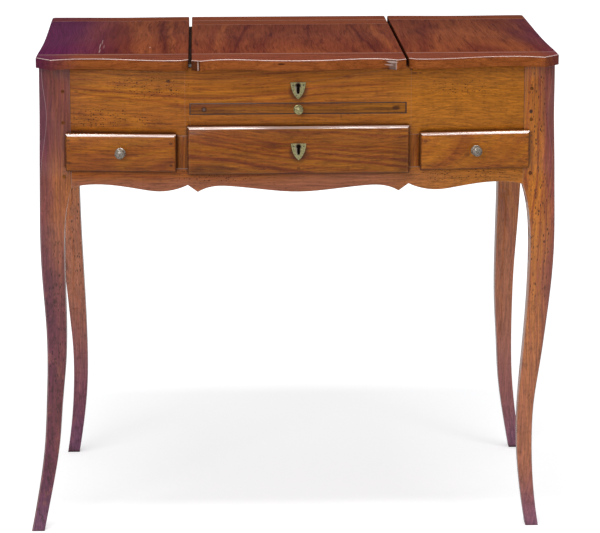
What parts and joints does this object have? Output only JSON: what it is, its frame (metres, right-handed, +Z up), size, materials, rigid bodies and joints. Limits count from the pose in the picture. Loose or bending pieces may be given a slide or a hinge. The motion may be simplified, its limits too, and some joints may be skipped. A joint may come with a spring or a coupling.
{
  "type": "poudreuse dressing table",
  "caption": "Dressing table on cabriole legs, with a hinged mirror lid between hinged side flaps over wells, a brushing slide and drawers in a shaped front.",
  "frame": {"origin": "on the floor, under the middle of the whole table's plan", "axes": "+X to the right of someone seated at the table, +Y to the back, +Z up"},
  "size_m": [0.7864, 0.4946, 0.72],
  "materials": {
    "walnut": "waxed and French polished golden brown walnut",
    "lid_walnut": "polished reddish brown walnut",
    "oak": "plain unpolished oak, aged",
    "brass": "dull old brass",
    "iron": "dark forged iron",
    "mirror": "silvered plate glass"
  },
  "bodies": {
    "case": {"leg_front_left": "walnut", "leg_front_right": "walnut", "leg_back_left": "walnut", "leg_back_right": "walnut", "front_panel": "walnut", "front_apron": "walnut", "drawer_divider_left": "walnut", "drawer_divider_right": "walnut", "side_panel_left": "walnut", "side_panel_right": "walnut", "back_panel": "oak", "partition_left": "oak", "partition_right": "oak", "left_well_floor": "oak", "right_well_floor": "oak", "centre_well_floor": "oak", "drawer_runners": "oak", "slide_runners": "oak", "joint_pegs": "walnut", "lid_lock_case": "iron", "lid_escutcheon": "brass", "case_hinge_leaves": "brass", "hinge_pins": "iron"},
    "centre_lid": {"centre_lid_field": "lid_walnut", "centre_lid_front_batten": "lid_walnut", "centre_lid_inner_batten": "lid_walnut", "centre_lid_back_batten": "lid_walnut", "mirror_frame": "lid_walnut", "mirror_glass": "mirror", "centre_lid_hinge_leaves": "brass", "lid_strike_plate": "brass"},
    "left_flap": {"left_flap_field": "lid_walnut", "left_flap_front_batten": "lid_walnut", "left_flap_back_batten": "lid_walnut", "left_flap_hinge_leaves": "brass"},
    "right_flap": {"right_flap_field": "lid_walnut", "right_flap_front_batten": "lid_walnut", "right_flap_back_batten": "lid_walnut", "right_flap_hinge_leaves": "brass"},
    "brushing_slide": {"slide_board": "lid_walnut", "slide_front": "walnut", "slide_knob": "brass"},
    "centre_drawer": {"centre_drawer_front": "walnut", "centre_drawer_sides": "oak", "centre_drawer_back": "oak", "centre_drawer_bottom": "oak", "drawer_lock_case": "iron", "drawer_escutcheon": "brass"},
    "left_drawer": {"left_drawer_front": "walnut", "left_drawer_sides": "oak", "left_drawer_back": "oak", "left_drawer_bottom": "oak", "left_drawer_knob": "brass"},
    "right_drawer": {"right_drawer_front": "walnut", "right_drawer_sides": "oak", "right_drawer_back": "oak", "right_drawer_bottom": "oak", "right_drawer_knob": "brass"},
    "lid_bolt": {"lid_lock_bolt": "iron"},
    "drawer_bolt": {"drawer_lock_bolt": "iron"}
  },
  "joints": [
    {"name": "centre_lid_hinge", "type": "hinge", "parent": "case", "child": "centre_lid", "pos_m": [0.0088, 0.24405, 0.705], "axis": [-1, 0, 0], "range_deg": [0, 105]},
    {"name": "left_flap_hinge", "type": "hinge", "parent": "case", "child": "left_flap", "pos_m": [-0.371, 0.02625, 0.705], "axis": [0, -1, 0], "range_deg": [0, 180]},
    {"name": "right_flap_hinge", "type": "hinge", "parent": "case", "child": "right_flap", "pos_m": [0.3886, 0.02625, 0.705], "axis": [0, 1, 0], "range_deg": [0, 180]},
    {"name": "slide_travel", "type": "slide", "parent": "case", "child": "brushing_slide", "axis": [0, -1, 0], "range_m": [0, 0.25]},
    {"name": "centre_drawer_travel", "type": "slide", "parent": "case", "child": "centre_drawer", "axis": [0, -1, 0], "range_m": [0, 0.26]},
    {"name": "left_drawer_travel", "type": "slide", "parent": "case", "child": "left_drawer", "axis": [0, -1, 0], "range_m": [0, 0.26]},
    {"name": "right_drawer_travel", "type": "slide", "parent": "case", "child": "right_drawer", "axis": [0, -1, 0], "range_m": [0, 0.26]},
    {"name": "lid_bolt_throw", "type": "slide", "parent": "case", "child": "lid_bolt", "axis": [0, 0, 1], "range_m": [0, 0.008]},
    {"name": "drawer_bolt_throw", "type": "slide", "parent": "centre_drawer", "child": "drawer_bolt", "axis": [0, 0, 1], "range_m": [0, 0.008]}
  ]
}
